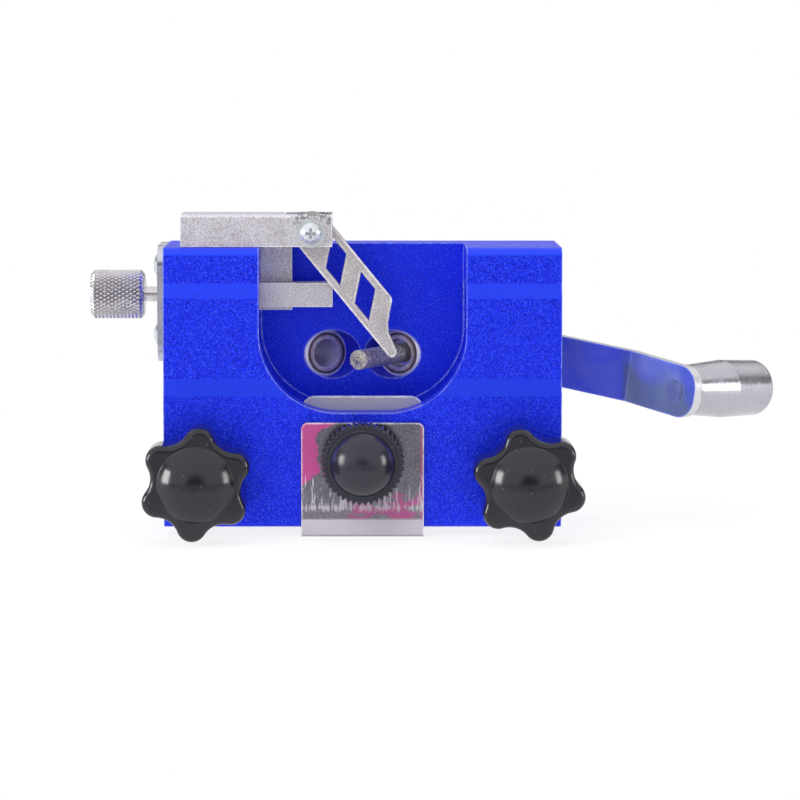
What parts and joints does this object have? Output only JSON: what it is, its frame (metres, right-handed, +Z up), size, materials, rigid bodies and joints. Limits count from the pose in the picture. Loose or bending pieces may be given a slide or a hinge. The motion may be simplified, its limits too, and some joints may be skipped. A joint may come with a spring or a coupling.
{
  "type": "chain sharpener",
  "caption": "Hand-cranked chainsaw chain sharpener that clamps on the guide bar, with a grinding burr in an angled bush and a pawl that holds the tooth.",
  "frame": {"origin": "middle of the back wall's face that the guide bar is pressed against", "axes": "+X along the guide bar towards the crank, +Y away from the clamp knobs, +Z up, away from the bar's slot mouth"},
  "size_m": [0.1417, 0.0707, 0.065],
  "materials": {
    "blue_aluminium": "blue anodised over a blasted surface",
    "plain_aluminium": "sawn and tumbled",
    "turned_aluminium": "turned and polished",
    "pawl_steel": "blasted",
    "zinc_steel": "bright zinc plated",
    "bright_screw": "bright zinc plated",
    "knurled_steel": "knurled and nickel plated",
    "dark_steel": "turned, oiled",
    "diamond_grit": "plated with diamond grit",
    "black_screw": "black oxide",
    "stainless_sheet": "polished sheet",
    "black_plastic": "moulded, glossy"
  },
  "bodies": {
    "frame": {"body": "blue_aluminium", "bush_left": "dark_steel", "bush_right": "dark_steel", "end_bracket": "zinc_steel", "bracket_screws": "bright_screw"},
    "carriage": {"pawl_channel": "plain_aluminium", "slide_bar": "plain_aluminium", "pivot_screw": "bright_screw", "pivot_washer": "bright_screw", "pivot_nut": "bright_screw", "pivot_spacer": "bright_screw"},
    "pawl": {"pawl": "pawl_steel"},
    "thumb": {"thumb_screw": "knurled_steel", "thumb_ring": "bright_screw"},
    "crank": {"spindle": "dark_steel", "burr": "diamond_grit", "stop_collar": "dark_steel", "collar_screw": "black_screw", "crank_arm": "zinc_steel", "crank_screw": "black_screw", "crank_washer": "bright_screw", "grip_pin": "zinc_steel"},
    "grip": {"grip": "turned_aluminium"},
    "clip": {"depth_clip": "stainless_sheet"},
    "lock": {"lock_knob": "black_plastic", "lock_stud": "bright_screw", "lock_washer": "bright_screw"},
    "pad_left": {"clamp_pad_left": "zinc_steel"},
    "pad_right": {"clamp_pad_right": "zinc_steel"},
    "knob_left": {"star_knob_left": "black_plastic", "star_stud_left": "bright_screw"},
    "knob_right": {"star_knob_right": "black_plastic", "star_stud_right": "bright_screw"}
  },
  "joints": [
    {"name": "crank_spin", "type": "hinge", "parent": "frame", "child": "crank", "pos_m": [0.006, 0.005, 0.0223], "axis": [0.5, 0.866, 0], "continuous": true},
    {"name": "grip_spin", "type": "hinge", "parent": "crank", "child": "grip", "pos_m": [0.06448, 0.0041, 0.01494], "axis": [0.7575, 0.6512, -0.0476], "continuous": true},
    {"name": "carriage_slide", "type": "slide", "parent": "frame", "child": "carriage", "axis": [1, 0, 0], "range_m": [-0.0015, 0.0035]},
    {"name": "pawl_lift", "type": "hinge", "parent": "carriage", "child": "pawl", "pos_m": [-0.0104, -0.006, 0.0482], "axis": [0, -1, 0], "range_deg": [0, 55]},
    {"name": "thumb_turn", "type": "hinge", "parent": "frame", "child": "thumb", "pos_m": [-0.0416, -0.0017, 0.0353], "axis": [1, 0, 0], "range_deg": [-1080, 2520]},
    {"name": "clip_slide", "type": "slide", "parent": "frame", "child": "clip", "axis": [0, 0, 1], "range_m": [-0.004, 0]},
    {"name": "lock_turn", "type": "hinge", "parent": "frame", "child": "lock", "pos_m": [0, -0.016, 0.003], "axis": [0, -1, 0], "range_deg": [0, 180]},
    {"name": "pad_left_slide", "type": "slide", "parent": "frame", "child": "pad_left", "axis": [0, 1, 0], "range_m": [0, 0.003]},
    {"name": "pad_right_slide", "type": "slide", "parent": "frame", "child": "pad_right", "axis": [0, 1, 0], "range_m": [0, 0.003]},
    {"name": "knob_left_turn", "type": "hinge", "parent": "pad_left", "child": "knob_left", "pos_m": [-0.0329, -0.02, -0.0005], "axis": [0, 1, 0], "range_deg": [0, 1350]},
    {"name": "knob_right_turn", "type": "hinge", "parent": "pad_right", "child": "knob_right", "pos_m": [0.0329, -0.02, -0.0005], "axis": [0, 1, 0], "range_deg": [0, 1350]}
  ],
  "couplings": [
    {"joint": "carriage_slide", "follows": "thumb_turn", "m_per_rad": 0.000079577},
    {"joint": "pad_left_slide", "follows": "knob_left_turn", "m_per_rad": 0.00012732},
    {"joint": "pad_right_slide", "follows": "knob_right_turn", "m_per_rad": 0.00012732}
  ]
}
